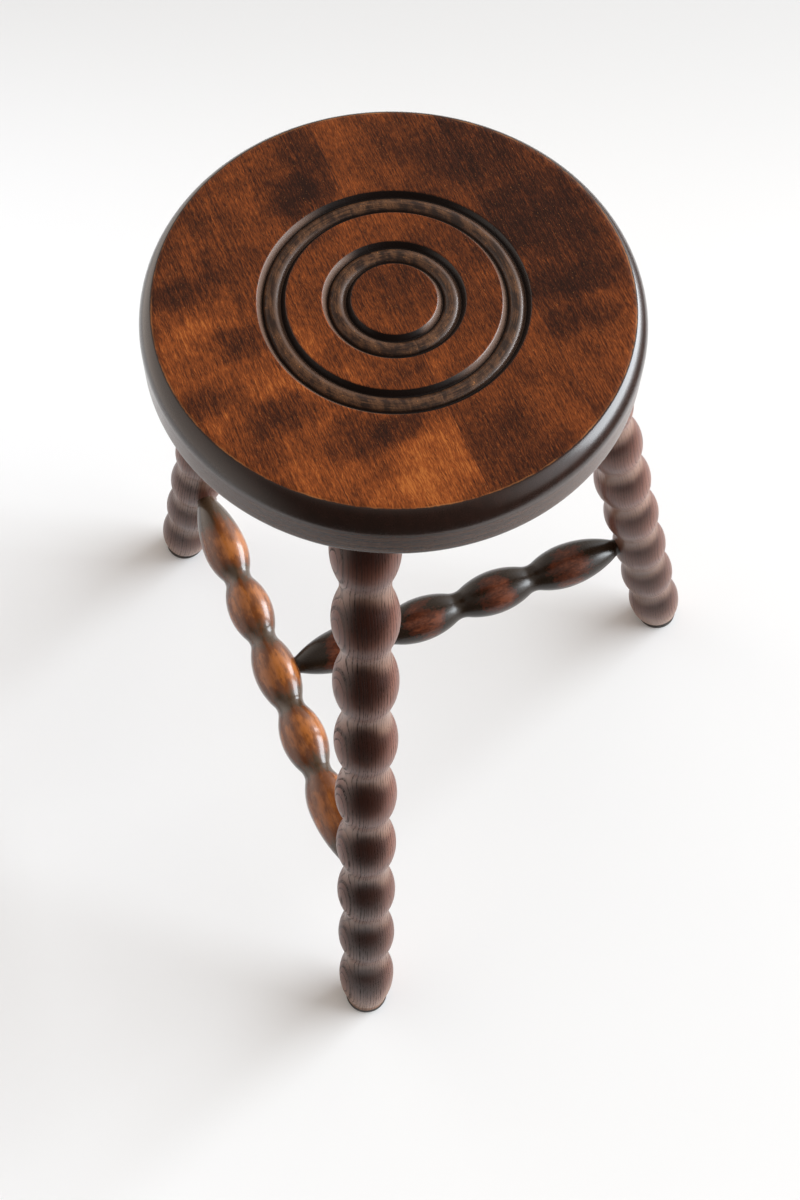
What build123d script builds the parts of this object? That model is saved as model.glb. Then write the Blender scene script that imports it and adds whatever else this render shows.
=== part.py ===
from build123d import *
import os

# A three-legged bobbin-turned stool. The front stretcher runs along X between the two front legs,
# the cross stretcher runs along Y from its middle bead to the rear leg, and the floor is Z = 0.
# All lengths are in millimetres.

# Seat: four boards glued edge to edge, turned round as one blank
seat_height = 605.0  # floor to sitting face
seat_radius = 150.0
seat_thickness = 39.5
board_width = 75.0  # each inner board; the two outer boards take the rest
rim_width = 8.0  # rounded upper rim, measured in from the edge
rim_drop = 15.5  # rounded upper rim, measured down from the sitting face
lower_edge_radius = 5.0

# Two rings turned into the sitting face, each a bead standing between two grooves
inner_ring_radius = 33.8  # seat centre to the crown of the bead
outer_ring_radius = 71.9
ring_width = 17.0
ring_depth = 4.5
ring_wall_run = 2.5  # how far a groove's wall leans in from the ring's edge
ring_bead_drop = 1.0  # crown of the bead below the sitting face

# Legs: where their axes meet the seat's underside, and where their soles stand
mortise_circle_radius = 117.5
mortise_spacing = 120.0  # degrees between neighbouring legs at the seat
front_foot_spread = 454.8  # between the two front feet
front_foot_reach = 108.6  # front feet ahead of the seat's centre
rear_foot_reach = 267.6  # rear foot behind the seat's centre

# Turning of a leg, from the sole upwards
sole_radius = 16.2
lowest_neck = 64.4  # sole to the first neck
leg_bead_count = 9
leg_bead_radius = 21.8
leg_neck_radius = 16.1
leg_cove_radius = 34.0  # hollow that rounds each neck
collar_length = 5.0  # plain length between the top bead and the seat
leg_tenon_radius = 12.5
leg_tenon_length = 25.0
saw_allowance = 12.0  # extra turned length at each end, sawn off level

# Pads under the feet
pad_radius = 16.8
pad_thickness = 6.0

# Stretchers: both start level, the cross stretcher climbs towards the rear leg
stretcher_height = 159.2
cross_stretcher_climb = 8.0
stretcher_bead_radius = 17.9
stretcher_neck_radius = 11.1
stretcher_cove_radius = 14.0
stretcher_tenon_radius = 7.0
stretcher_tenon_length = 13.0
front_middle_bead_length = 63.0
front_side_bead_length = 59.2
cross_bead_length = 64.5

# Fits
mortise_clearance = 0.1  # round a tenon
mortise_end_gap = 1.0  # glue room past a tenon's end
shoulder_gap = 0.4  # between a stretcher's taper and the bead that it enters

# The seat's centre stands forward of the origin, which is the middle of the stool's own box
seat_y = (seat_radius - rear_foot_reach - pad_radius) / 2
underside = seat_height - seat_thickness


def leg_axis(top_angle, sole_x, sole_y):
    """A leg's axis: its origin is the middle of the sole, its direction points up to the seat."""
    top = Vector(mortise_circle_radius, 0, underside).rotate(Axis.Z, top_angle) + Vector(0, seat_y, 0)
    sole = Vector(sole_x, seat_y + sole_y, pad_thickness)
    return Axis(sole, top - sole)


def length_to(axis, height):
    """Length along a leg's axis from its sole up to a height."""
    return (height - axis.position.Z) / axis.direction.Z


def point_on(axis, length):
    return axis.position + axis.direction * length


def height_on(axis, height):
    return point_on(axis, length_to(axis, height))


leg_axes = {
    "leg_front_left": leg_axis(-90 - mortise_spacing / 2, -front_foot_spread / 2, -front_foot_reach),
    "leg_front_right": leg_axis(-90 + mortise_spacing / 2, front_foot_spread / 2, -front_foot_reach),
    "leg_rear": leg_axis(90, 0, rear_foot_reach),
}


# Stretcher lines: from leg axis to leg axis, and from the front stretcher's axis to the rear leg's
left_end = height_on(leg_axes["leg_front_left"], stretcher_height)
right_end = height_on(leg_axes["leg_front_right"], stretcher_height)
rear_end = height_on(leg_axes["leg_rear"], stretcher_height + cross_stretcher_climb)
tee = (left_end + right_end) * 0.5
front_axis = Axis(left_end, right_end - left_end)
cross_axis = Axis(tee, rear_end - tee)


def profile_plane(axis):
    """A plane through an axis: X is the distance from it, Y the length along it."""
    side = Plane(axis.position, z_dir=axis.direction).x_dir
    return Plane(axis.position, x_dir=side, z_dir=side.cross(axis.direction))


def meeting(neck, neck_at, crown, crown_at, cove):
    """Where the hollow arc in a neck runs smoothly into the full arc over a crown.

    Both arcs end parallel to the axis, so they meet on the line from the neck to the crown.
    """
    run = crown_at - neck_at
    rise = crown - neck
    share = cove / ((run**2 + rise**2) / (2 * rise))
    return (neck + rise * share, neck_at + run * share)


def turn_beads(crowns, crown_radius, necks, neck_radius, cove):
    """Draw a row of beads from its first crown to its last, with a neck between each two crowns."""
    joins = []
    for before, neck_at, after in zip(crowns, necks, crowns[1:]):
        down = meeting(neck_radius, neck_at, crown_radius, before, cove)
        up = meeting(neck_radius, neck_at, crown_radius, after, cove)
        ThreePointArc(down, (neck_radius, neck_at), up)
        joins += [down, up]
    TangentArc((crown_radius, crowns[0]), joins[0], tangent=(0, 1))
    for start, crown_at, end in zip(joins[1::2], crowns[1:], joins[2::2]):
        ThreePointArc(start, (crown_radius, crown_at), end)
    TangentArc((crown_radius, crowns[-1]), joins[-1], tangent=(0, -1))


def drill(mouth, inwards, radius, depth):
    """Cut a round blind mortise into the part being built, from its mouth inwards."""
    with Locations(Plane(mouth, z_dir=inwards * -1)):
        Hole(radius + mortise_clearance, depth + mortise_end_gap)


def save(part, name):
    part.label = name
    export_step(part, f"parts/{name}.step")


os.makedirs("parts", exist_ok=True)

# The seat blank, turned about its own upright axis
seat_axis = Axis((0, seat_y, seat_height), (0, 0, 1))
face_radius = seat_radius - rim_width
with BuildPart() as seat_blank:
    with BuildSketch(profile_plane(seat_axis)):
        with BuildLine():
            Line((0, 0), (face_radius, 0))
            TangentArc((seat_radius, -rim_drop), (face_radius, 0), tangent=(0, 1))
            Line((seat_radius, -rim_drop), (seat_radius, lower_edge_radius - seat_thickness))
            RadiusArc(
                (seat_radius, lower_edge_radius - seat_thickness),
                (seat_radius - lower_edge_radius, -seat_thickness),
                lower_edge_radius,
            )
            Line((seat_radius - lower_edge_radius, -seat_thickness), (0, -seat_thickness))
            Line((0, -seat_thickness), (0, 0))
        make_face()
    revolve(axis=seat_axis)

    with BuildSketch(profile_plane(seat_axis)):
        for crown_radius in (inner_ring_radius, outer_ring_radius):
            inner_edge = crown_radius - ring_width / 2
            outer_edge = crown_radius + ring_width / 2
            with BuildLine():
                Line((inner_edge, 0), (inner_edge + ring_wall_run, -ring_depth))
                ThreePointArc(
                    (inner_edge + ring_wall_run, -ring_depth),
                    (crown_radius, -ring_bead_drop),
                    (outer_edge - ring_wall_run, -ring_depth),
                )
                Line((outer_edge - ring_wall_run, -ring_depth), (outer_edge, 0))
                Line((outer_edge, 0), (inner_edge, 0))
            make_face()
    revolve(axis=seat_axis, mode=Mode.SUBTRACT)

    for axis in leg_axes.values():
        mouth = point_on(axis, length_to(axis, underside) - saw_allowance)
        drill(mouth, axis.direction, leg_tenon_radius, saw_allowance + leg_tenon_length)

# The boards are the blank divided along its three glue lines
glue_lines = [seat_y - board_width, seat_y, seat_y + board_width]
board_names = ["seat_board_front", "seat_board_mid_front", "seat_board_mid_rear", "seat_board_rear"]
for name, front_line, rear_line in zip(board_names, [None, *glue_lines], [*glue_lines, None]):
    with BuildPart() as board:
        add(seat_blank.part)
        if front_line is not None:
            split(bisect_by=Plane((0, front_line, 0), z_dir=(0, 1, 0)), keep=Keep.TOP)
        if rear_line is not None:
            split(bisect_by=Plane((0, rear_line, 0), z_dir=(0, 1, 0)), keep=Keep.BOTTOM)
    save(board.part, name)

# Where a stretcher enters each leg, and which way it leaves
stretcher_ways = {
    "leg_front_left": (left_end, front_axis.direction),
    "leg_front_right": (right_end, front_axis.direction * -1),
    "leg_rear": (rear_end, cross_axis.direction * -1),
}

for name, axis in leg_axes.items():
    top = length_to(axis, underside)
    top_neck = top - collar_length
    bead_length = (top_neck - lowest_neck) / (leg_bead_count - 1)
    necks = [lowest_neck + number * bead_length for number in range(leg_bead_count - 1)]
    crowns = [lowest_neck + (number - 0.5) * bead_length for number in range(leg_bead_count)]
    with BuildPart() as leg:
        with BuildSketch(profile_plane(axis)):
            with BuildLine():
                Line((0, -saw_allowance), (sole_radius, -saw_allowance))
                Line((sole_radius, -saw_allowance), (sole_radius, 0))
                TangentArc((leg_bead_radius, crowns[0]), (sole_radius, 0), tangent=(0, -1))
                turn_beads(crowns, leg_bead_radius, necks, leg_neck_radius, leg_cove_radius)
                join = meeting(leg_neck_radius, top_neck, leg_bead_radius, crowns[-1], leg_cove_radius)
                TangentArc((leg_bead_radius, crowns[-1]), join, tangent=(0, 1))
                TangentArc((leg_neck_radius, top_neck), join, tangent=(0, -1))
                Line((leg_neck_radius, top_neck), (leg_neck_radius, top + saw_allowance))
                Line((leg_neck_radius, top + saw_allowance), (0, top + saw_allowance))
                Line((0, top + saw_allowance), (0, -saw_allowance))
            make_face()
        revolve(axis=axis)
        split(bisect_by=Plane((0, 0, pad_thickness), z_dir=(0, 0, 1)), keep=Keep.TOP)
        split(bisect_by=Plane((0, 0, underside), z_dir=(0, 0, 1)), keep=Keep.BOTTOM)

        with BuildSketch(Plane(point_on(axis, top - saw_allowance), z_dir=axis.direction)):
            Circle(leg_tenon_radius)
        extrude(amount=saw_allowance + leg_tenon_length)

        on_axis, way = stretcher_ways[name]
        mouth = on_axis + way * (leg_bead_radius + saw_allowance)
        drill(mouth, way * -1, stretcher_tenon_radius, saw_allowance + stretcher_tenon_length)
    save(leg.part, name)

    with BuildPart() as pad:
        with BuildSketch(Plane((axis.position.X, axis.position.Y, 0))):
            Circle(pad_radius)
        extrude(amount=pad_thickness)
    save(pad.part, name.replace("leg", "foot_pad"))


def stretcher_profile(axis, span, start_reach, end_reach, beads):
    """Half outline of a stretcher, drawn along its axis.

    start_reach and end_reach are the shoulders' distances from the ends of the span. The beads
    between the necks have their own lengths, and the two tapered ends share what is left.
    """
    end_length = (span - start_reach - end_reach - sum(beads)) / 2
    necks = [start_reach + end_length]
    for length in beads:
        necks.append(necks[-1] + length)
    middles = [(start + end) / 2 for start, end in zip(necks, necks[1:])]
    crowns = [necks[0] - beads[0] / 2, *middles, necks[-1] + beads[-1] / 2]
    with BuildSketch(profile_plane(axis)) as profile:
        with BuildLine():
            turn_beads(crowns, stretcher_bead_radius, necks, stretcher_neck_radius, stretcher_cove_radius)
            for shoulder, crown_at in ((start_reach, crowns[0]), (span - end_reach, crowns[-1])):
                outwards = 1 if shoulder > crown_at else -1
                crown = (stretcher_bead_radius, crown_at)
                TangentArc(crown, (stretcher_tenon_radius, shoulder), tangent=(0, outwards))
                tenon_end = shoulder + outwards * stretcher_tenon_length
                Line((stretcher_tenon_radius, shoulder), (stretcher_tenon_radius, tenon_end))
                Line((stretcher_tenon_radius, tenon_end), (0, tenon_end))
            Line((0, start_reach - stretcher_tenon_length), (0, span - end_reach + stretcher_tenon_length))
        make_face()
    return profile.sketch


def leg_reach(name):
    """How far a leaning leg's bead stands out level from its axis, up to a stretcher's shoulder."""
    return leg_bead_radius / leg_axes[name].direction.Z + shoulder_gap


front_reach = leg_reach("leg_front_left")
front_beads = [front_side_bead_length, front_middle_bead_length, front_side_bead_length]
front_span = (right_end - left_end).length
with BuildPart() as front_stretcher:
    outline = stretcher_profile(front_axis, front_span, front_reach, front_reach, front_beads)
    revolve(outline, axis=front_axis)
    mouth = point_on(cross_axis, stretcher_bead_radius + saw_allowance)
    drill(mouth, cross_axis.direction * -1, stretcher_tenon_radius, saw_allowance + stretcher_tenon_length)
save(front_stretcher.part, "front_stretcher")

tee_reach = stretcher_bead_radius + shoulder_gap
cross_beads = [cross_bead_length, cross_bead_length]
cross_span = (rear_end - tee).length
with BuildPart() as cross_stretcher:
    outline = stretcher_profile(cross_axis, cross_span, tee_reach, leg_reach("leg_rear"), cross_beads)
    revolve(outline, axis=cross_axis)
save(cross_stretcher.part, "cross_stretcher")
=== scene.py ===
import math
import bmesh
import bpy
import numpy as np
from mathutils import Matrix, Vector


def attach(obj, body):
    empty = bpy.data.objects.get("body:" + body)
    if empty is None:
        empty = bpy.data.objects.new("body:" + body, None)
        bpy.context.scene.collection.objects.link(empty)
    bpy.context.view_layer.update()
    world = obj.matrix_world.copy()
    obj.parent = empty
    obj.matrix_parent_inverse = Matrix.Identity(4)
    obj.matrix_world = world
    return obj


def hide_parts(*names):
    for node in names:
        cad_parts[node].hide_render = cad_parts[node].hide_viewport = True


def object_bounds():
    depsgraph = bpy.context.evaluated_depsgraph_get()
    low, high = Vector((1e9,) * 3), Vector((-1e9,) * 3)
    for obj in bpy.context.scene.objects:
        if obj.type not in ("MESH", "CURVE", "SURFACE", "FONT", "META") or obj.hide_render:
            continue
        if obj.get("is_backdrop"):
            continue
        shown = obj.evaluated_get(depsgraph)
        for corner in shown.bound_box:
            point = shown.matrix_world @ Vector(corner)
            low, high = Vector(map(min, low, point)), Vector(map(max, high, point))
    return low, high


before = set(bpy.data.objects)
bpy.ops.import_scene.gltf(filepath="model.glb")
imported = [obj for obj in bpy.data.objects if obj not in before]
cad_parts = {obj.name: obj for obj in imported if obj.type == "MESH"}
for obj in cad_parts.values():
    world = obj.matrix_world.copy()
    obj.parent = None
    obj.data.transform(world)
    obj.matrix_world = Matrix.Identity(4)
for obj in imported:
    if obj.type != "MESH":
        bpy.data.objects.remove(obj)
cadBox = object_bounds()
print("frame loaded")

mm = 0.001  # the sizes below are in millimetres, the scene is in metres
sharpEdge = math.radians(50)  # faces that meet at more than this are shaded as a corner
lacquerIor = 1.5
hollowColour = (0.010, 0.005, 0.003)
hollowShare = 0.6


# ---- shader nodes ----

def rgb(colour):
    return (*colour, 1)


class Signal:
    # one output socket; arithmetic on it adds Math nodes
    def __init__(self, paint, socket):
        self.paint = paint
        self.socket = socket

    def __add__(self, other):
        return self.paint.math("ADD", self, other)

    def __sub__(self, other):
        return self.paint.math("SUBTRACT", self, other)

    def __rsub__(self, other):
        return self.paint.math("SUBTRACT", other, self)

    def __mul__(self, other):
        return self.paint.math("MULTIPLY", self, other)

    def __truediv__(self, other):
        return self.paint.math("DIVIDE", self, other)

    # a noise runs from 0 to 1: this moves it to both sides of 0 and stretches it over span
    def swing(self, span):
        return (self - 0.5) * span


class Paint:
    # a node tree being filled; node() adds any node and returns one of its outputs
    def __init__(self, tree):
        self.tree = tree
        self.tree.nodes.clear()

    def node(self, kind, settings={}, sockets={}, output=0):
        made = self.tree.nodes.new("ShaderNode" + kind)
        for key, value in settings.items():
            setattr(made, key, value)
        for key, value in sockets.items():
            if isinstance(value, Signal):
                self.tree.links.new(value.socket, made.inputs[key])
            else:
                made.inputs[key].default_value = value
        return Signal(self, made.outputs[output]) if len(made.outputs) else made

    # where a point of the surface is, which way it faces, and what turnedMesh stored there
    def place(self):
        return self.node("TexCoord", {}, {}, "Object")

    def facing(self):
        return self.node("NewGeometry", {}, {}, "Normal")

    def stored(self, name, output):
        return self.node("Attribute", {"attribute_name": name}, {}, output)

    def math(self, operation, *values):
        return self.node("Math", {"operation": operation}, dict(enumerate(values)))

    def vector(self, operation, *values, output=0):
        return self.node("VectorMath", {"operation": operation}, dict(enumerate(values)), output)

    def length(self, vector):
        return self.vector("LENGTH", vector, output="Value")

    # how far a vector points along a direction
    def toward(self, vector, direction):
        return self.vector("DOT_PRODUCT", vector, tuple(direction), output="Value")

    def parts(self, vector):
        return [self.node("SeparateXYZ", {}, {0: vector}, index) for index in range(3)]

    def join(self, x, y, z):
        return self.node("CombineXYZ", {}, {0: x, 1: y, 2: z})

    # 0 below low, 1 above high, an S curve between
    def step(self, value, low, high):
        sockets = {"Value": value, "From Min": low, "From Max": high}
        return self.node("MapRange", {"interpolation_type": "SMOOTHSTEP"}, sockets)

    def mix(self, factor, first, second):
        first, second = (rgb(colour) if isinstance(colour, tuple) else colour for colour in (first, second))
        return self.node("Mix", {"data_type": "RGBA"}, {0: factor, 6: first, 7: second}, 2)

    def ramp(self, factor, stops):
        made = self.node("ValToRGB", {}, {0: factor})
        elements = made.socket.node.color_ramp.elements
        while len(elements) < len(stops):
            elements.new(0.5)
        for element, (place, colour) in zip(elements, stops):
            element.position = place
            element.color = rgb(colour)
        return made

    # a place counted in grains that are size long on each axis
    def grains(self, place, size):
        return self.vector("MULTIPLY", place, [1 / (length * mm) for length in size])

    def noise(self, place, size, detail=2.0, roughness=0.5, distortion=0.0):
        look = {"Scale": 1.0, "Detail": detail, "Roughness": roughness, "Distortion": distortion}
        return self.node("TexNoise", {}, {"Vector": self.grains(place, size), **look})

    def cells(self, place, size):
        return self.node("TexVoronoi", {}, {"Vector": self.grains(place, size), "Scale": 1.0}, "Distance")

    def bump(self, height, depth, strength):
        return self.node("Bump", {}, {"Height": height, "Distance": depth * mm, "Strength": strength})

    # hollow is how much of each point is an open pore, which is dark and reflects nothing
    def finish(self, hollow=None, **sockets):
        named = {key.replace("_", " "): value for key, value in sockets.items()}
        shader = self.node("BsdfPrincipled", {}, named)
        if hollow is not None:
            dark = self.node("BsdfDiffuse", {}, {"Color": rgb(hollowColour)})
            shader = self.node("MixShader", {}, {0: hollow * hollowShare, 1: shader, 2: dark})
        self.node("OutputMaterial", {}, {"Surface": shader})


def newMaterial(name):
    material = bpy.data.materials.new(name)
    material.use_nodes = True
    return material, Paint(material.node_tree)


# ---- meshes ----

# The angles of the columns of points that stand round an axis, as one row.
def anglesRound(columns):
    return np.linspace(0, 2 * math.pi, columns, endpoint=False)[None]


# A grid of points, rows by columns, closed round its columns and at both ends by a fan to the end's middle.
def gridMesh(name, points):
    rows, columns = points.shape[:2]
    lower = np.arange(rows - 1)[:, None] * columns
    here = np.arange(columns)[None]
    after = (here + 1) % columns
    quads = np.stack([lower + here, lower + after, lower + columns + after, lower + columns + here], -1)
    first, last = rows * columns, rows * columns + 1
    top = (rows - 1) * columns
    start = np.stack([np.full(columns, first), after[0], here[0]], -1)
    end = np.stack([np.full(columns, last), top + here[0], top + after[0]], -1)
    places = np.concatenate([points.reshape(-1, 3), points[:1].mean(1), points[-1:].mean(1)])
    mesh = bpy.data.meshes.new(name)
    mesh.from_pydata(places.tolist(), [], quads.reshape(-1, 4).tolist() + start.tolist() + end.tolist())
    mesh.shade_smooth()
    mesh.set_sharp_from_angle(angle=sharpEdge)
    return mesh


# An outline of radius and height pairs carried round an upright axis.
def lathedMesh(name, outline, axisX, axisY, columns):
    angle = anglesRound(columns)
    across = outline[:, :1]
    heights = outline[:, 1:] + 0 * angle
    points = np.stack([axisX + across * np.cos(angle), axisY + across * np.sin(angle), heights], -1)
    return gridMesh(name, points * mm)


def addPiece(name, mesh, material, node):
    mesh.materials.append(material)
    piece = bpy.data.objects.new(name, mesh)
    bpy.context.scene.collection.objects.link(piece)
    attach(piece, "root")
    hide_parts(node)


# Two directions across an axis, so that side, across and axis are a right-handed set.
def sidesOf(direction):
    side = np.cross(direction, (0, 0, 1))
    side = side / np.linalg.norm(side)
    return side, np.cross(direction, side)


# Radius of a row of beads: a full arc over each crown runs smoothly into a hollow arc of radius cove in the
# neck beside it. An arc over run and rise has the radius (run squared + rise squared) / (2 x rise), and the
# cove takes its share of it. An end is a length and a radius: past the first and last crown one arc falls
# to that radius over that length. None leaves an end as it is.
def beadRadius(stations, crowns, necks, crownRadius, neckRadius, cove, ends):
    bead = np.searchsorted(necks, stations)
    crown = crowns[bead]
    off = np.abs(stations - crown)
    before = stations < crown
    neck = np.where(before, necks[np.maximum(bead - 1, 0)], necks[np.minimum(bead, len(necks) - 1)])
    run = np.abs(neck - crown)
    rise = crownRadius - neckRadius
    whole = (run**2 + rise**2) / (2 * rise)
    share = cove / whole
    arc = whole * (1 - share)
    hollow = neckRadius + cove - np.sqrt(np.maximum(cove**2 - np.minimum(run - off, cove) ** 2, 0))
    full = crownRadius - arc + np.sqrt(np.maximum(arc**2 - np.minimum(off, arc) ** 2, 0))
    radius = np.where(run - off < run * share, hollow, full)
    for crownAt, past, end in zip((crowns[0], crowns[-1]), (-1, 1), ends):
        if end is None:
            continue
        length, endRadius = end
        beyond = (stations - crownAt) * past
        drop = crownRadius - endRadius
        arc = (length**2 + drop**2) / (2 * drop)
        falling = crownRadius - arc + np.sqrt(arc**2 - np.clip(beyond, 0, length) ** 2)
        radius = np.where(beyond > 0, falling, radius)
    return radius


# A turned piece: radius(station) carried round an axis. The grain attribute holds each point's place in the
# piece's own blank, turned and shifted so that no two blanks match. The crown attribute is 0 in the necks
# and 1 on the crowns, whose two radii are lowHigh.
def turnedMesh(name, start, direction, stations, radiusAt, lowHigh, blank):
    side, across = sidesOf(direction)
    angle = anglesRound(stations.shape[1])
    radius = radiusAt(stations)
    out = np.cos(angle)[..., None] * side + np.sin(angle)[..., None] * across
    points = start + stations[..., None] * direction + radius[..., None] * out
    mesh = gridMesh(name, points * mm)
    turn = angle + math.radians(blank["turn"])
    grain = np.stack([radius * np.cos(turn), radius * np.sin(turn), stations], -1) + blank["shift"]
    ends = [grain[:1].mean(1), grain[-1:].mean(1)]
    places = np.concatenate([grain.reshape(-1, 3), *ends]) * mm
    mesh.attributes.new("grain", "FLOAT_VECTOR", "POINT").data.foreach_set("vector", places.ravel())
    low, high = lowHigh
    crown = np.append((radius - low) / (high - low), (0, 0))
    mesh.attributes.new("crown", "FLOAT", "POINT").data.foreach_set("value", crown)
    return mesh


# ---- seat ----

seat = {
    "height": 605,
    "radius": 150,
    "thickness": 39.5,
    "centre": -67.2,  # along Y
    "boardWidth": 75,
    "rimWidth": 8,
    "rimDrop": 15.5,
    "lowerEdge": 5,
    "ringCrowns": (33.8, 71.9),
    "ringWidth": 17.0,
    "ringDepth": 4.5,
    "wallRun": 3.1,
    "beadDrop": 1.0,
    "softening": 0.45,  # how far a turned edge is worn round
    "columns": 360,
    # radii of the rows of points on the underside, and on the face outside, between and inside the rings
    "underRows": (20, 60, 100, 130),
    "faceRows": ((138, 125, 110, 95), (56, 50), (18, 9)),
    # how many rows there are across a ring and the rim, on the lower edge and on the wall
    "ringRows": 58,
    "rimRows": 25,
    "edgeRows": 9,
    "wallRows": 7,
    "softSamples": 9,
    "sawnWithin": 1e-7,  # a point this near a saw cut, in metres, lies on it
    # each board is cut from a place this much further on in the plank, in metres
    "boardShift": (0.413, 0.137, 0.071),
    # how much each layer moves the stain's tone, and the tone they move it from
    "tone": {
        "curl": 0.65, "cloud": 0.50, "patches": 0.30, "rearBoard": 0.09, "streak": 0.80, "fleck": 1.5,
        "middle": 0.48,
    },
    # patches in the stained face, from the seat's centre: x, y, half length, half width, and how much
    # darker (-) or lighter (+) they are
    "figure": (
        (-112, -12, 34, 13, -0.9), (-95, -32, 14, 15, -0.8), (-48, -116, 9, 26, -0.7),
        (-60, -84, 12, 22, -0.45), (-4, -92, 12, 20, -0.75), (49, -92, 14, 20, -0.85),
        (30, -122, 12, 20, -0.6), (81, -56, 15, 20, -1.15), (84, -30, 11, 14, -0.75),
        (124, 24, 26, 26, -0.8), (28, 110, 9, 34, -0.6), (52, 96, 10, 26, -0.5), (-40, 96, 62, 44, -0.45),
        (-92, 56, 34, 40, -0.3), (2, 122, 22, 26, -0.4), (-6, -8, 16, 16, -0.35), (-14, -118, 12, 24, 0.55),
        (-26, -100, 10, 20, 0.4), (30, -80, 10, 22, 0.5), (118, -22, 22, 20, 0.9), (126, -46, 12, 20, 0.8),
        (102, -6, 20, 12, 0.5), (46, 118, 8, 18, 0.5), (72, 100, 14, 34, 0.35), (-118, 14, 34, 12, 0.35),
        (12, -62, 16, 9, 0.45), (58, 20, 22, 26, 0.25), (-80, -24, 24, 16, -0.70), (-70, 60, 80, 80, -0.30),
        (60, -100, 50, 60, 0.30), (40, 90, 70, 60, -0.15), (-85, -104, 30, 24, -0.35),
        (100, -70, 30, 40, 0.30), (84, 20, 26, 30, -0.20), (0, 4, 24, 24, -0.25), (30, -126, 8, 14, -0.3),
    ),
    "stain": (
        (0.0, (0.018, 0.005, 0.0025)), (0.25, (0.055, 0.0135, 0.0045)), (0.5, (0.140, 0.034, 0.008)),
        (0.75, (0.270, 0.064, 0.013)), (1.0, (0.44, 0.132, 0.028)),
    ),
    "colours": {
        "pore": (0.035, 0.010, 0.005),
        "dot": (0.55, 0.23, 0.07),
        "joint": (0.03, 0.010, 0.006),
        "bareWood": (0.42, 0.17, 0.055),
        "rimDark": (0.012, 0.006, 0.004),
        "rimLight": (0.032, 0.013, 0.009),
        "wallDark": (0.028, 0.012, 0.007),
        "wallLight": (0.110, 0.050, 0.029),
        # painted shade for the groove floors, and painted light for the groove walls that face the window
        "grooveShade": (0.009, 0.005, 0.004),
        "grooveWallLit": (0.115, 0.068, 0.048),
        "ringDark": (0.022, 0.012, 0.008),
        "ringLight": (0.132, 0.062, 0.030),
        "ringFleck": (0.045, 0.019, 0.012),
        "underside": (0.045, 0.017, 0.009),
    },
}


# Height of the seat's top at a radius: the flat face, and in each ring a straight wall, a round bead and a
# wall. The bead's arc has the radius (half its chord squared + its rise squared) / (2 x its rise).
def seatTop(radius):
    height = np.zeros_like(radius)
    half = seat["ringWidth"] / 2
    chord = half - seat["wallRun"]
    rise = seat["ringDepth"] - seat["beadDrop"]
    arc = (chord**2 + rise**2) / (2 * rise)
    for crown in seat["ringCrowns"]:
        off = np.abs(radius - crown)
        wall = -seat["ringDepth"] * (half - off) / seat["wallRun"]
        bead = -seat["beadDrop"] - arc + np.sqrt(np.maximum(arc**2 - off**2, 0))
        height = np.where(off < half, np.maximum(wall, np.where(off < chord, bead, wall)), height)
    return height


# Half outline of the seat from the middle of its underside round to the middle of its face. The rim is an
# arc that starts upright at the wall; half its turn is the angle whose tangent is its width over its drop.
def seatOutline():
    edge, radius, drop, floor = seat["lowerEdge"], seat["radius"], seat["rimDrop"], -seat["thickness"]
    under = [(row, floor) for row in seat["underRows"]]
    quarter = np.linspace(0, math.pi / 2, seat["edgeRows"])
    lower = np.stack([radius - edge + edge * np.sin(quarter), edge + floor - edge * np.cos(quarter)], -1)
    wall = [(radius, height) for height in np.linspace(edge + floor, -drop, seat["wallRows"])[1:-1]]
    rimSpan = 2 * math.atan2(seat["rimWidth"], drop)
    rimTurn = np.linspace(0, rimSpan, seat["rimRows"])
    rimRound = drop / math.sin(rimSpan)
    rim = np.stack([radius - rimRound * (1 - np.cos(rimTurn)), rimRound * np.sin(rimTurn) - drop], -1)
    off = seat["ringWidth"] / 2 + 1
    inner, outer = (np.linspace(crown + off, crown - off, seat["ringRows"]) for crown in seat["ringCrowns"])
    outside, between, inside = seat["faceRows"]
    face = np.concatenate([outside, outer, between, inner, inside])
    soft = np.linspace(-1, 1, seat["softSamples"]) * seat["softening"]
    top = seatTop(face[:, None] + soft[None]).mean(1)
    return np.concatenate([under, lower, wall, rim, np.stack([face, top], -1)])
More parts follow.
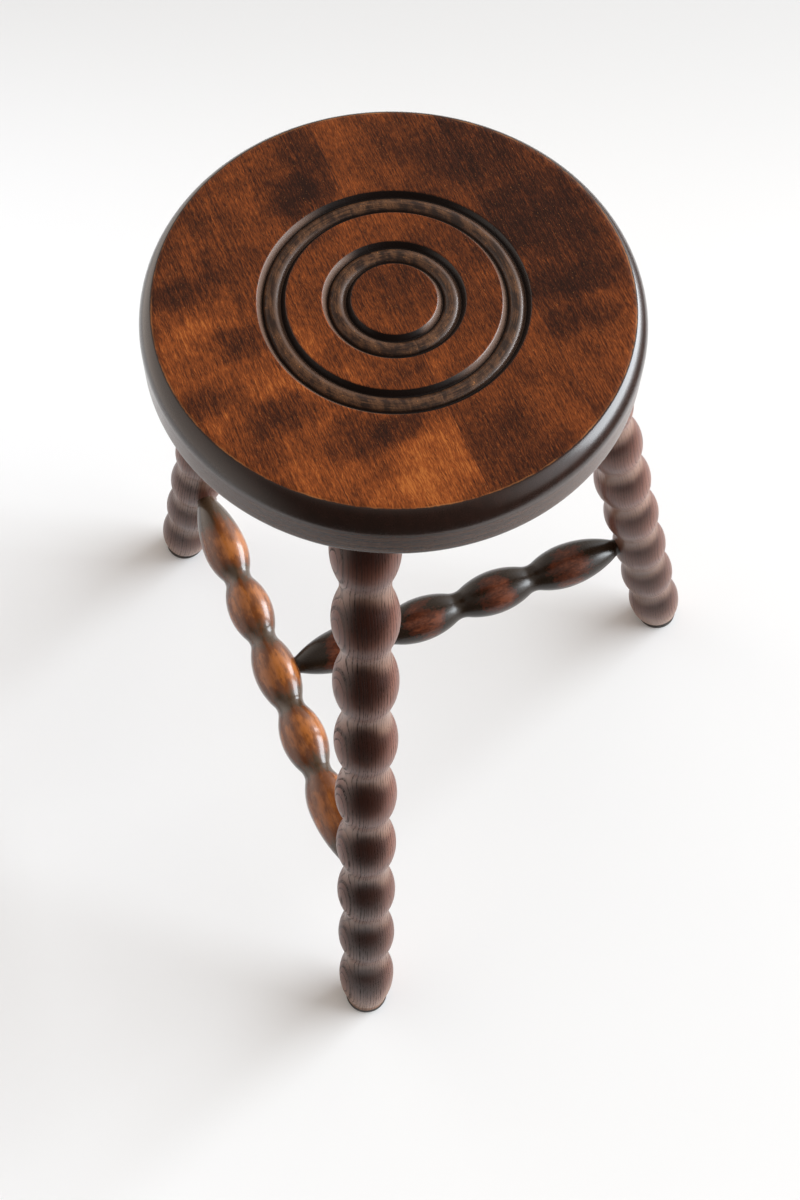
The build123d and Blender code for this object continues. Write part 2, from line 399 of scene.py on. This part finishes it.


# The stained face and its figure, the boards' joints, the blackened rim, the rings with painted shade in
# their grooves and painted light on the walls that face the window, and the plain underside, all from the
# place in the seat; the walls' painted light also depends on which way they face.
def seatMaterial():
    material, paint = newMaterial("seatStain")
    colours, amount, width = seat["colours"], seat["tone"], seat["boardWidth"]
    local = paint.vector("SUBTRACT", paint.place(), (0, seat["centre"] * mm, seat["height"] * mm))
    x, y, z = paint.parts(local)
    radius = paint.length(paint.vector("MULTIPLY", local, (1, 1, 0)))
    board = paint.math("FLOOR", y / (width * mm))
    own = paint.vector("ADD", local, paint.join(*(board * shift for shift in seat["boardShift"])))

    # curly figure: wide bands across the grain, bent by a slow noise
    bent = paint.noise(own, (60, 60, 60))
    curl = paint.noise(paint.vector("ADD", own, paint.join(bent * 0.05, 0, 0)), (26, 85, 60), 3.0, 0.55)
    cloud = paint.noise(own, (34, 20, 30), 4.0, 0.6, 0.6)

    # the listed patches, with warped outlines, each kept to its own side of the middle joint
    elsewhere = paint.vector("ADD", own, (0.3, 0.7, 0.1))
    bentX = x + paint.noise(own, (18, 22, 22), 4.0, 0.65).swing(22 * mm)
    bentY = y + paint.noise(elsewhere, (18, 22, 22), 4.0, 0.65).swing(26 * mm)
    patches = 0.0
    for patchX, patchY, length, breadth, strength in seat["figure"]:
        offX = (bentX - patchX * mm) / (length * mm)
        offY = (bentY - patchY * mm) / (breadth * mm)
        reach = offX * offX + offY * offY
        ownSide = paint.step(y * (1 if patchY > 0 else -1), -0.3 * mm, 0.3 * mm)
        patches = paint.step(reach, 1.9, 0.05) * ownSide * strength + patches

    # short flecks, longer streaks and fine pores along the boards; the rear board is darker on its left
    wander = paint.noise(own, (4, 4, 4)).swing(2.2 * mm)
    curved = paint.vector("ADD", own, paint.join(0.0, wander, 0.0))
    fleck = paint.noise(curved, (4.5, 0.55, 1.2), 3.0, 0.65)
    streak = paint.noise(own, (40, 1.3, 8), 3.0, 0.6, 0.3)
    pore = paint.noise(curved, (6.0, 0.45, 1.0), 2.0, 0.6)
    rearBoard = paint.step(y, (width - 0.3) * mm, (width + 0.3) * mm) * paint.step(x, 60 * mm, 30 * mm)
    tone = curl.swing(amount["curl"]) + cloud.swing(amount["cloud"]) + patches * amount["patches"]
    tone = tone - rearBoard * amount["rearBoard"] + streak.swing(amount["streak"])
    tone = tone + fleck.swing(amount["fleck"]) + amount["middle"]
    stain = paint.ramp(tone, seat["stain"])
    stain = paint.mix(paint.step(pore, 0.56, 0.70) * 0.5, stain, colours["pore"])
    dots = paint.step(paint.noise(own, (1.6, 0.6, 1.0)), 0.64, 0.76)
    stain = paint.mix(dots * 0.45, stain, colours["dot"])

    # hairline joints between the boards
    toJoint = paint.math("PINGPONG", y, width * mm / 2)
    joint = paint.step(toJoint, 0.42 * mm, 0.12 * mm)
    stain = paint.mix(joint * 0.55, stain, colours["joint"])

    # black past the face's edge, which is rubbed to bare wood; the wall under the rim is worn lighter
    faceEdge, drop = seat["radius"] - seat["rimWidth"], -seat["rimDrop"]
    ragged = paint.noise(own, (3, 3, 3)).swing(1.1 * mm)
    edge = paint.step(radius + ragged, (faceEdge - 0.8) * mm, faceEdge * mm)
    lower = paint.step(z + ragged, (drop + 3) * mm, (drop - 3.5) * mm)
    worn = paint.noise(own, (16, 7, 8), 4.0, 0.65)
    turned = paint.noise(paint.join(radius, z, worn * (4 * mm)), (3, 1.6, 1), 3.0, 0.6)
    rimColour = paint.mix(paint.noise(own, (18, 6, 6), 3.0), colours["rimDark"], colours["rimLight"])
    wallColour = paint.mix(paint.step(turned, 0.35, 0.65), colours["wallDark"], colours["wallLight"])
    rimColour = paint.mix(lower * 0.85, rimColour, wallColour)
    rubbed = paint.step(radius + ragged * 0.6, (faceEdge - 1.4) * mm, (faceEdge - 0.7) * mm)
    stain = paint.mix(rubbed * paint.step(cloud, 0.35, 0.65) * 0.6, stain, colours["bareWood"])

    # painted shade makes the grooves black; each has a streaked bead in it, and painted light makes each
    # wall lighter where it faces the window
    half = seat["ringWidth"] / 2
    chord = half - seat["wallRun"]
    inRing, onBead, onWall = 0.0, 0.0, 0.0
    for crown in seat["ringCrowns"]:
        off = paint.math("ABSOLUTE", radius - crown * mm)
        inRing = paint.step(off, (half + 0.1) * mm, (half - 0.4) * mm) + inRing
        onBead = paint.step(off, (chord - 0.2) * mm, (chord - 2.4) * mm) + onBead
        onWall = paint.step(off, (chord + 0.3) * mm, (chord + 1.2) * mm) + onWall
    inRing = inRing * paint.step(z, -seat["ringDepth"] * 2 * mm, (-seat["ringDepth"] - 2.5) * mm)
    around = paint.math("ARCTAN2", y, x) * (60 * mm)
    streaks = paint.noise(paint.join(radius, around, 0.0), (0.9, 16, 1), 3.0, 0.6)
    streaked = paint.step(worn * 0.6 + streaks * 0.4, 0.42, 0.58)
    ringColour = paint.mix(streaked, colours["ringDark"], colours["ringLight"])
    ringColour = paint.mix(paint.step(fleck, 0.46, 0.60) * 0.6, ringColour, colours["ringFleck"])
    specks = paint.step(paint.noise(own, (1.5, 0.8, 1.0), 2.0, 0.6), 0.63, 0.70)
    ringColour = paint.mix(specks * paint.step(worn, 0.45, 0.62) * 0.9, ringColour, colours["bareWood"])
    # painted light: the part of each wall that faces the window
    litWall = onWall * paint.step(paint.parts(paint.facing())[1], 0.10, 0.45)
    # painted shade: all of the ring off the bead is painted near black
    ringColour = paint.mix(onBead, colours["grooveShade"], ringColour)
    ringColour = paint.mix(litWall * 0.8, ringColour, colours["grooveWallLit"])

    colour = paint.mix(inRing, stain, ringColour)
    under = paint.step(z, (9.5 - seat["thickness"]) * mm, (1.5 - seat["thickness"]) * mm) * (1 - edge)
    colour = paint.mix(under * 0.75, colour, colours["underside"])
    colour = paint.mix(edge, colour, rimColour)

    # satin lacquer, sunk a little into the grain, thickest on the rim and where the rings are rubbed
    rough = fleck.swing(0.16) + cloud.swing(0.12) + 0.33
    rough = rough - edge * 0.08 + inRing * 0.06 + under * 0.20
    relief = (fleck - 0.5) * (inRing * 2.0 + 0.5) + pore.swing(0.7) + streak.swing(0.3) - joint * 1.2
    turning = paint.noise(paint.join(radius, z, 0.0), (0.55, 0.55, 1)) * (edge + inRing) * 0.5
    normal = paint.bump(relief * (1 - edge * 0.75) + turning, 0.05, 0.6)
    polished = paint.step(y + x * 0.4, -20 * mm, 45 * mm) * 0.55 + 0.12
    coat = (inRing * polished + edge * (1 - lower * 0.5)) * 0.58 + 0.045
    paint.finish(
        Base_Color=colour, Roughness=rough, Normal=normal, IOR=lacquerIor, Specular_IOR_Level=0.14,
        Coat_Weight=coat, Coat_Roughness=0.23, Coat_IOR=lacquerIor,
    )
    return material


# The turned seat is sawn along its joints into the four boards, and each sawn face is filled.
def buildSeat(material):
    outline = seatOutline() + (0, seat["height"])
    whole = lathedMesh("seatBlank", outline, 0, seat["centre"], seat["columns"])
    joints = [seat["centre"] + offset * seat["boardWidth"] for offset in (-1, 0, 1)]
    boards = ("Front", "MidFront", "MidRear", "Rear")
    nodes = ("seat_board_front", "seat_board_mid_front", "seat_board_mid_rear", "seat_board_rear")
    for board, node, low, high in zip(boards, nodes, [None, *joints], [*joints, None]):
        work = bmesh.new()
        work.from_mesh(whole)
        for place, keepAbove in ((low, True), (high, False)):
            if place is None:
                continue
            cut = bmesh.ops.bisect_plane(
                work, geom=[*work.verts, *work.edges, *work.faces], dist=seat["sawnWithin"],
                plane_co=(0, place * mm, 0), plane_no=(0, 1, 0),
                clear_inner=keepAbove, clear_outer=not keepAbove,
            )
            sawn = [part for part in cut["geom_cut"] if isinstance(part, bmesh.types.BMEdge)]
            bmesh.ops.holes_fill(work, edges=sawn)
        bmesh.ops.recalc_face_normals(work, faces=work.faces)
        mesh = bpy.data.meshes.new("seatBoard" + board)
        work.to_mesh(mesh)
        work.free()
        mesh.set_sharp_from_angle(angle=sharpEdge)
        addPiece("seatBoard" + board, mesh, material, node)
    bpy.data.meshes.remove(whole)


buildSeat(seatMaterial())
print("seat boards turned and sawn")


# ---- legs ----

legs = {
    "mortiseCircle": 117.5,
    "footSpread": 454.8,
    "footReach": 108.6,
    "rearReach": 267.6,
    "padThickness": 6,
    "soleRadius": 16.2,
    "lowestNeck": 64.4,
    "beads": 9,
    "beadRadius": 21.8,
    "neckRadius": 16.1,
    "cove": 34,
    "collar": 5,
    "leanRun": (16, 9),  # how far from the sole and from the top the rows lean, to lie level there
    "levelRounds": 4,
    "rowsPerMm": 0.62,
    "columns": 96,
    "darkReflectionFacing": (0.42, -0.18, 0.89),  # painted dark reflection: the colour is darkest where a bead faces this way, towards the dark side of the room
    "ringSpacing": 2.1,
    # heights under which the stain is darker and scuffed: where that starts and where it is full
    "lowBelow": (300, 100),
    "scuffedBelow": (48, 10),
    # openness is how open the blank's pores are
    "blanks": (
        {"turn": 111, "shift": (22, 6, 0), "openness": 0.6},
        {"turn": -22, "shift": (62, 8, 700), "openness": 0.85},
        {"turn": 112, "shift": (60, 4, 1500), "openness": 0.30},
    ),
    "stain": (
        (0.15, (0.036, 0.009, 0.004)), (0.45, (0.108, 0.031, 0.017)), (0.75, (0.185, 0.062, 0.034)),
        (1.0, (0.24, 0.090, 0.050)),
    ),
    "colours": {
        # lighter colour of the necks: partly dust, partly painted sheen
        "dust": (0.260, 0.150, 0.104),
        # painted dark reflection where a bead faces the dark side of the room
        "darkReflection": (0.026, 0.005, 0.002),
        "low": (0.026, 0.011, 0.007),
        "scuffed": (0.240, 0.110, 0.054),
        "earlyWood": (0.016, 0.007, 0.005),
        "pore": (0.014, 0.006, 0.004),
        "sheen": (1.0, 0.72, 0.62),
    },
}
underside = seat["height"] - seat["thickness"]


# A leg's axis as its sole's middle, its direction and its length up to the seat's underside.
def legAxis(topAngle, soleX, soleY):
    turn = math.radians(topAngle)
    circle = legs["mortiseCircle"]
    top = np.array([circle * math.cos(turn), seat["centre"] + circle * math.sin(turn), underside])
    sole = np.array([soleX, seat["centre"] + soleY, legs["padThickness"]])
    length = np.linalg.norm(top - sole)
    return sole, (top - sole) / length, length


legAxes = {
    "leg_front_left": legAxis(-150, -legs["footSpread"] / 2, -legs["footReach"]),
    "leg_front_right": legAxis(-30, legs["footSpread"] / 2, -legs["footReach"]),
    "leg_rear": legAxis(90, 0, legs["rearReach"]),
}


# Dark stain over open-pored wood. Growth rings are shells round a pith line beside the leg, so the beads cut
# them into contour lines; pores are long thin dashes that crowd at the start of each ring. The necks are
# lighter, partly with dust and partly as painted sheen; the side of each bead that faces the dark side of
# the room is painted dark as a painted reflection; the stain is darker low down and scuffed at the foot.
def legMaterial(name, openness):
    material, paint = newMaterial(name)
    colours = legs["colours"]
    grain, crown = paint.stored("grain", "Vector"), paint.stored("crown", "Fac")
    height = paint.parts(paint.place())[2]
    acrossX, acrossY = paint.parts(grain)[:2]
    wave = paint.noise(grain, (30, 30, 120)).swing(4 * mm)
    fine = paint.noise(grain, (5, 5, 30)).swing(0.8 * mm)
    fromPith = paint.length(paint.join(acrossX, acrossY, 0.0)) + wave + fine
    uneven = paint.noise(paint.join(fromPith, 0.0, 0.0), (5, 1, 1)).swing(5 * mm)
    ring = paint.math("FRACT", (fromPith + uneven) / (legs["ringSpacing"] * mm))
    early = paint.step(ring, 0.36, 0.08)
    bent = paint.vector("ADD", grain, paint.join(wave * 0.5, fine * 1.5, 0.0))
    vessel = paint.cells(bent, (1.5, 1.5, 55))
    hair = paint.noise(bent, (0.5, 0.5, 14), 2.0, 0.6)
    cloud = paint.noise(grain, (16, 16, 40), 3.0, 0.6)
    lines = early * paint.step(hair, 0.36, 0.58) * (paint.step(cloud, 0.38, 0.60) * 0.85 + 0.15)
    pit = (lines + paint.step(vessel, 0.28, 0.16) * 0.35 + paint.step(hair, 0.60, 0.68) * 0.25) * openness

    # the necks are lighter: partly dust, partly painted sheen
    dustAndSheen = paint.step(crown + cloud.swing(0.5), 0.60, -0.05)
    # painted dark reflection: darkest where a bead faces the dark side of the room
    darkReflection = paint.step(paint.toward(paint.facing(), legs["darkReflectionFacing"]) + cloud.swing(0.35), 0.42, 0.80)
    low = paint.step(height, *(level * mm for level in legs["lowBelow"]))
    scuffed = paint.step(height + cloud.swing(30 * mm), *(level * mm for level in legs["scuffedBelow"]))
    colour = paint.ramp(cloud * 0.7 + ring * 0.2 + crown * 0.10, legs["stain"])
    colour = paint.mix(dustAndSheen * 0.65, colour, colours["dust"])
    colour = paint.mix(darkReflection * 0.95, colour, colours["darkReflection"])
    colour = paint.mix(low * 0.40, colour, colours["low"])
    colour = paint.mix(scuffed * 0.75, colour, colours["scuffed"])
    colour = paint.mix(early * 0.35 * openness, colour, colours["earlyWood"])
    colour = paint.mix(pit * 0.8, colour, colours["pore"])
    rough = cloud.swing(0.12) + pit * 0.30 + 0.36
    relief = cloud.swing(0.6) - early * 0.25 - pit
    paint.finish(
        pit, Base_Color=colour, Roughness=rough, Normal=paint.bump(relief, 0.12, 0.8), IOR=lacquerIor,
        Specular_IOR_Level=0.28, Coat_Weight=0.18, Coat_Roughness=0.3, Coat_IOR=lacquerIor,
        Sheen_Weight=0.12, Sheen_Roughness=0.40, Sheen_Tint=rgb(colours["sheen"]),
    )
    return material


# The leg's rows stand square to its axis, except near its ends, where they lean until the end row is level:
# the stations of the sole's row are minus lean times their own radius, which a few rounds settle.
def buildLeg(name, blank, material):
    sole, direction, length = legAxes[name]
    side, across = sidesOf(direction)
    beadHigh, neckHigh = legs["beadRadius"], legs["neckRadius"]
    topNeck = length - legs["collar"]
    bead = (topNeck - legs["lowestNeck"]) / (legs["beads"] - 1)
    order = np.arange(legs["beads"])
    crowns = np.append(legs["lowestNeck"] + (order - 0.5) * bead, topNeck + bead / 2)
    necks = legs["lowestNeck"] + order * bead
    ends = ((crowns[0], legs["soleRadius"]), None)

    def radiusAt(stations):
        radius = beadRadius(stations, crowns, necks, beadHigh, neckHigh, legs["cove"], ends)
        return np.where(stations > topNeck, neckHigh, radius)

    angle = anglesRound(legs["columns"])
    lean = (np.cos(angle) * side[2] + np.sin(angle) * across[2]) / direction[2]
    rows = np.linspace(0, length, int(length * legs["rowsPerMm"]))[:, None]
    soleRun, topRun = legs["leanRun"]
    nearSole = np.clip(1 - rows / soleRun, 0, 1)
    nearTop = np.clip(1 - (length - rows) / topRun, 0, 1)
    stations = rows - lean * (radiusAt(rows * 0) * nearSole + neckHigh * nearTop)
    level = stations[:1]
    for attempt in range(legs["levelRounds"]):
        level = -lean * radiusAt(level)
    stations = stations + (level - stations[:1]) * nearSole
    mesh = turnedMesh(name, sole, direction, stations, radiusAt, (neckHigh, beadHigh), blank)
    addPiece(name.replace("leg_", "turnedLeg_"), mesh, material, name)


for name, blank in zip(legAxes, legs["blanks"]):
    buildLeg(name, blank, legMaterial(name.replace("leg", "legStain"), blank["openness"]))
print("legs turned")


# ---- foot pads ----

pads = {
    "radius": 16.8,
    "thickness": legs["padThickness"],
    "softening": 0.9,
    "edgeRows": 6,
    "columns": 72,
    "rubber": (0.020, 0.016, 0.014),
    "dust": (0.075, 0.062, 0.054),
}


def padMaterial():
    material, paint = newMaterial("padRubber")
    place = paint.place()
    dust = paint.noise(place, (5, 5, 5), 4.0, 0.6)
    colour = paint.mix(paint.step(dust, 0.45, 0.8), pads["rubber"], pads["dust"])
    fine = paint.noise(place, (0.7, 0.7, 0.7))
    paint.finish(Base_Color=colour, Roughness=dust * 0.25 + 0.6, Normal=paint.bump(fine, 0.06, 0.5))
    return material


# A disc whose upper and lower edges are quarter rounds.
def buildPad(name, sole, material):
    soft, radius, thickness = pads["softening"], pads["radius"], pads["thickness"]
    turn = np.linspace(0, math.pi / 2, pads["edgeRows"])
    lower = np.stack([radius - soft + soft * np.sin(turn), soft - soft * np.cos(turn)], -1)
    upper = np.stack([radius - soft + soft * np.cos(turn), thickness - soft + soft * np.sin(turn)], -1)
    outline = np.concatenate([[(radius * 0.5, 0)], lower, upper, [(radius * 0.5, thickness)]])
    mesh = lathedMesh(name, outline, sole[0], sole[1], pads["columns"])
    addPiece(name.replace("foot_pad", "softPad"), mesh, material, name)


padRubber = padMaterial()
for name, axis in legAxes.items():
    buildPad(name.replace("leg", "foot_pad"), axis[0], padRubber)
print("foot pads made")


# ---- stretchers ----

stretchers = {
    "height": 159.2,
    "climb": 8.0,  # how much higher the cross stretcher is at the rear leg
    "beadRadius": 17.9,
    "neckRadius": 11.1,
    "cove": 14,
    "tenonRadius": 7,
    "tenonLength": 13,
    "shoulderGap": 0.4,
    "frontBeads": (59.2, 63.0, 59.2),
    "crossBeads": (64.5, 64.5),
    "frontBlank": {"turn": 70, "shift": (14, 3, 2300)},
    "crossBlank": {"turn": 10, "shift": (12, -5, 3100)},
    "rowsPerMm": 0.7,
    "columns": 88,
    # rub sets how far the wear goes, onCrown and onSide how closely it keeps to the crowns and to that side
    # of them, streaks and spots how broken it is. Edge is the wear at which the middle colour starts and is
    # full, and up to dullEnd the blank is less worn.
    "honey": {
        "dark": (0.062, 0.037, 0.021), "middle": (0.140, 0.042, 0.012), "bright": (0.35, 0.116, 0.028),
        "rub": 0.60, "onCrown": 0.62, "side": (0, 0, 1), "onSide": 0.16, "streaks": 0.25, "spots": 0.35,
        "edge": (0.22, 0.60), "dullEnd": 2350, "cloud": (9, 9, 22), "mottle": (2.6, 2.6, 9), "coat": 0.44,
        "gloss": 0.11,
    },
    "russet": {
        "dark": (0.018, 0.010, 0.005), "middle": (0.062, 0.017, 0.008), "bright": (0.17, 0.046, 0.019),
        "rub": -0.12, "onCrown": 0.95, "side": (0.58, -0.26, 0.77), "onSide": 0.50, "streaks": 0.15,
        "spots": 0.55, "edge": (0.42, 0.58), "dullEnd": 3080, "cloud": (12, 12, 18),
        "mottle": (1.6, 1.6, 3.0), "coat": 0.26, "gloss": 0.26,
    },
    "pore": (0.018, 0.008, 0.005),
}


# Stain rubbed through to the wood, as the finish says: first to its middle colour, then to the bright one.
def stretcherMaterial(name, finish):
    material, paint = newMaterial(name)
    grain, crown = paint.stored("grain", "Vector"), paint.stored("crown", "Fac")
    along = paint.parts(grain)[2]
    onSide = paint.toward(paint.facing(), finish["side"])
    cloud = paint.noise(grain, finish["cloud"], 4.0, 0.6)
    streak = paint.noise(grain, (1.0, 1.0, 26), 3.0, 0.6)
    pit = paint.step(paint.noise(grain, (0.30, 0.30, 5.0), 2.0, 0.6), 0.56, 0.70)
    mottle = paint.noise(grain, finish["mottle"], 3.0, 0.6)
    chatter = paint.noise(paint.join(0.0, 0.0, along), (1, 1, 0.9)) * paint.step(cloud, 0.45, 0.6)
    lessWorn = paint.step(along, (finish["dullEnd"] + 22) * mm, (finish["dullEnd"] - 8) * mm)
    wear = crown * finish["onCrown"] + cloud.swing(1.15) + onSide * finish["onSide"]
    wear = wear + streak.swing(finish["streaks"]) + mottle.swing(finish["spots"]) + (chatter - 0.25) * 0.10
    wear = wear + (finish["rub"] - 0.5) - lessWorn * 0.45
    first, full = finish["edge"]
    colour = paint.mix(paint.step(wear, first, full), finish["dark"], finish["middle"])
    colour = paint.mix(paint.step(wear, full, full + 0.4), colour, finish["bright"])
    colour = paint.mix(pit * 0.28, colour, stretchers["pore"])
    rough = cloud.swing(0.10) + pit * 0.12 + 0.24
    relief = streak.swing(0.35) - pit * 0.8
    normal = paint.bump(relief, 0.05, 0.5)
    paint.finish(
        Base_Color=colour, Roughness=rough, Normal=normal, IOR=lacquerIor, Specular_IOR_Level=0.3,
        Coat_Weight=finish["coat"], Coat_Roughness=finish["gloss"], Coat_IOR=lacquerIor,
    )
    return material


# Where a leg's axis is at a height.
def pointAt(axis, height):
    sole, direction, length = axis
    return sole + direction * (height - sole[2]) / direction[2]


# A stretcher between two axes: its listed beads share the middle, and past them a tapered bead at each end
# runs into a round tenon at reach from the axis.
def buildStretcher(name, start, end, reaches, beads, blank, material):
    span = np.linalg.norm(end - start)
    direction = (end - start) / span
    startReach, endReach = reaches
    tapered = (span - sum(reaches) - sum(beads)) / 2
    necks = startReach + tapered + np.append(0, np.cumsum(beads))
    between = (necks[1:] + necks[:-1]) / 2
    crowns = np.concatenate([[necks[0] - beads[0] / 2], between, [necks[-1] + beads[-1] / 2]])
    tenon, beadHigh, neckHigh = (stretchers[key] for key in ("tenonRadius", "beadRadius", "neckRadius"))
    ends = ((crowns[0] - startReach, tenon), (span - endReach - crowns[-1], tenon))

    def radiusAt(stations):
        return beadRadius(stations, crowns, necks, beadHigh, neckHigh, stretchers["cove"], ends)

    low = startReach - stretchers["tenonLength"]
    high = span - endReach + stretchers["tenonLength"]
    rows = np.linspace(low, high, int(span * stretchers["rowsPerMm"]))[:, None]
    stations = rows + np.zeros((1, stretchers["columns"]))
    mesh = turnedMesh(name, start, direction, stations, radiusAt, (neckHigh, beadHigh), blank)
    addPiece("turned_" + name, mesh, material, name)


leftEnd = pointAt(legAxes["leg_front_left"], stretchers["height"])
rightEnd = pointAt(legAxes["leg_front_right"], stretchers["height"])
rearEnd = pointAt(legAxes["leg_rear"], stretchers["height"] + stretchers["climb"])
tee = (leftEnd + rightEnd) / 2
frontReach = legs["beadRadius"] / legAxes["leg_front_left"][1][2] + stretchers["shoulderGap"]
rearReach = legs["beadRadius"] / legAxes["leg_rear"][1][2] + stretchers["shoulderGap"]
teeReach = stretchers["beadRadius"] + stretchers["shoulderGap"]
buildStretcher(
    "front_stretcher", leftEnd, rightEnd, (frontReach, frontReach), stretchers["frontBeads"],
    stretchers["frontBlank"], stretcherMaterial("stretcherHoney", stretchers["honey"]),
)
buildStretcher(
    "cross_stretcher", tee, rearEnd, (teeReach, rearReach), stretchers["crossBeads"],
    stretchers["crossBlank"], stretcherMaterial("stretcherRusset", stretchers["russet"]),
)
print("stretchers turned")


# ---- studio ----

studio = {
    "camera": (0.5734, -0.3126, 1.4397),
    "azimuth": 65.95,  # which way the camera looks, as degrees round from +Y towards -X
    "lookDown": 62.94,
    "roll": 2.05,
    "lens": 52.85,
    "sensor": 36,
    # the sheet under the stool, in metres as the camera sees it: near and far edge, left and right edge, and
    # where the painted light to the left and the painted shade towards the far end fade in
    "paper": ((-0.50, 1.30), (-1.40, 0.85)),
    "paperColours": ((0.84, 0.84, 0.84), (0.87, 0.87, 0.87)),
    # painted light: the paper is lighter towards its left
    "leftPaintedLight": (0.915, 0.925, 0.94),
    "leftFade": (-0.1, 0.6),
    # painted shade: the paper is darker towards its far end
    "farPaintedShade": (0.68, 0.68, 0.68),
    "farFade": (0.35, 1.0),
    "windowSide": 8,  # degrees from +Y towards +X
    "windowFar": 10.0,
    "windowSize": (11, 5.5),
    "windowHeight": 3.0,
    "windowAim": (0, 0, 0.3),
    "windowPower": 2350,
    "windowColour": (0.885, 0.948, 1.0),
    # glows in the room: degrees from +Y towards +X, degrees up, the cosines of the angle from its middle at
    # which it starts and is full, and its strength
    "paleWalls": ((-150, -8, 0.40, 0.95, 1.4), (-95, 0, 0.3, 1.0, 0.5)),
    "windowGlow": (10, 0.30, 0.92, 2.3),  # the same, on the window's side
    # between which the window's glow lies, and where the ceiling starts: 0 is level and 1 straight up
    "glowBottom": (-0.25, 0.0),
    "glowTop": (0.85, 0.40),
    "ceilingFrom": (0.40, 0.92),
    "ceiling": 0.42,
    "dimmest": 0.08,  # the strength of the rest of the room
    "roomColour": (1, 0.91, 0.83),
    "glowColour": (0.96, 0.98, 1.0),
    "seenColour": (0.955, 0.955, 0.955),
}


def buildCamera():
    turn, tilt, roll = (math.radians(studio[key]) for key in ("azimuth", "lookDown", "roll"))
    look = Vector((-math.sin(turn) * math.cos(tilt), math.cos(turn) * math.cos(tilt), -math.sin(tilt)))
    right = look.cross(Vector((0, 0, 1))).normalized()
    up = right.cross(look)
    right, up = right * math.cos(roll) + up * math.sin(roll), up * math.cos(roll) - right * math.sin(roll)
    camera = bpy.data.objects.new("camera", bpy.data.cameras.new("camera"))
    facing = Matrix((right, up, -look)).transposed().to_4x4()
    camera.matrix_world = Matrix.Translation(studio["camera"]) @ facing
    camera.data.sensor_width = studio["sensor"]
    camera.data.lens = studio["lens"]
    bpy.context.scene.collection.objects.link(camera)
    bpy.context.scene.camera = camera


# One sheet of pale paper, with painted light making it a little brighter towards its left and painted shade
# making it darker towards its far end.
def buildFloor():
    turn = math.radians(studio["azimuth"])
    ahead = np.array([-math.sin(turn), math.cos(turn), 0])
    right = np.array([math.cos(turn), math.sin(turn), 0])
    (near, far), (left, rightEdge) = studio["paper"]
    places = ((near, left), (near, rightEdge), (far, rightEdge), (far, left))
    corners = [tuple(ahead * forward + right * sideways) for forward, sideways in places]
    mesh = bpy.data.meshes.new("floor")
    mesh.from_pydata(corners, [], [(0, 1, 2, 3)])
    material, paint = newMaterial("floorPaper")
    place = paint.place()
    farShadeMask = paint.step(paint.toward(place, ahead), *studio["farFade"])
    leftLightMask = paint.step(paint.toward(place, -right), *studio["leftFade"])
    colour = paint.mix(paint.noise(place, (400, 400, 400)), *studio["paperColours"])
    # painted light towards the left and painted shade towards the far end
    colour = paint.mix(leftLightMask, colour, studio["leftPaintedLight"])
    colour = paint.mix(farShadeMask, colour, studio["farPaintedShade"])
    paint.finish(Base_Color=colour, Roughness=0.9, Specular_IOR_Level=0.1)
    mesh.materials.append(material)
    floor = bpy.data.objects.new("floor", mesh)
    bpy.context.scene.collection.objects.link(floor)
    floor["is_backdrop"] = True


# The room: white to the camera. To everything else it is a dim ceiling, a dark side behind the camera, a
# pale wall on the side away from the window, and a glow round the window.
def buildWorld():
    world = bpy.data.worlds.new("room")
    world.use_nodes = True
    bpy.context.scene.world = world
    paint = Paint(world.node_tree)
    outward = paint.node("TexCoord", {}, {}, "Generated")

    def glow(azimuth, height, low, high):
        turn = math.radians(azimuth)
        middle = Vector((math.sin(turn), math.cos(turn), math.tan(math.radians(height)))).normalized()
        return paint.step(paint.toward(outward, middle), low, high)

    upward = paint.parts(outward)[2]
    band = paint.step(upward, *studio["glowBottom"]) * paint.step(upward, *studio["glowTop"])
    *window, strength = studio["windowGlow"]
    nearWindow = glow(studio["windowSide"], *window) * band
    light = nearWindow * strength
    for *wall, strength in studio["paleWalls"]:
        light = light + glow(*wall) * strength
    light = light + paint.step(upward, *studio["ceilingFrom"]) * studio["ceiling"] + studio["dimmest"]
    warmth = paint.mix(paint.step(nearWindow, 0.1, 0.8), studio["roomColour"], studio["glowColour"])
    seen = paint.node("LightPath", {}, {}, "Is Camera Ray")
    shown = paint.node("Background", {}, {"Color": rgb(studio["seenColour"]), "Strength": 1.0})
    lit = paint.node("Background", {}, {"Color": warmth, "Strength": light})
    paint.node("OutputWorld", {}, {"Surface": paint.node("MixShader", {}, {0: seen, 1: lit, 2: shown})})


def addWindow():
    lamp = bpy.data.lights.new("window", "AREA")
    lamp.shape = "RECTANGLE"
    lamp.size, lamp.size_y = studio["windowSize"]
    lamp.energy = studio["windowPower"]
    lamp.color = studio["windowColour"]
    holder = bpy.data.objects.new("window", lamp)
    turn = math.radians(studio["windowSide"])
    away = Vector((math.sin(turn), math.cos(turn), 0)) * studio["windowFar"]
    holder.location = away + Vector((0, 0, studio["windowHeight"]))
    aim = Vector(studio["windowAim"]) - holder.location
    holder.rotation_euler = aim.to_track_quat("-Z", "Y").to_euler()
    holder.visible_camera = False
    bpy.context.scene.collection.objects.link(holder)


buildCamera()
buildFloor()
buildWorld()
addWindow()
bpy.context.scene.view_settings.view_transform = "Standard"
print("studio set")

{name: [list(corner) for corner in box] for name, box in (("cad", cadBox), ("visual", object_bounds()))}
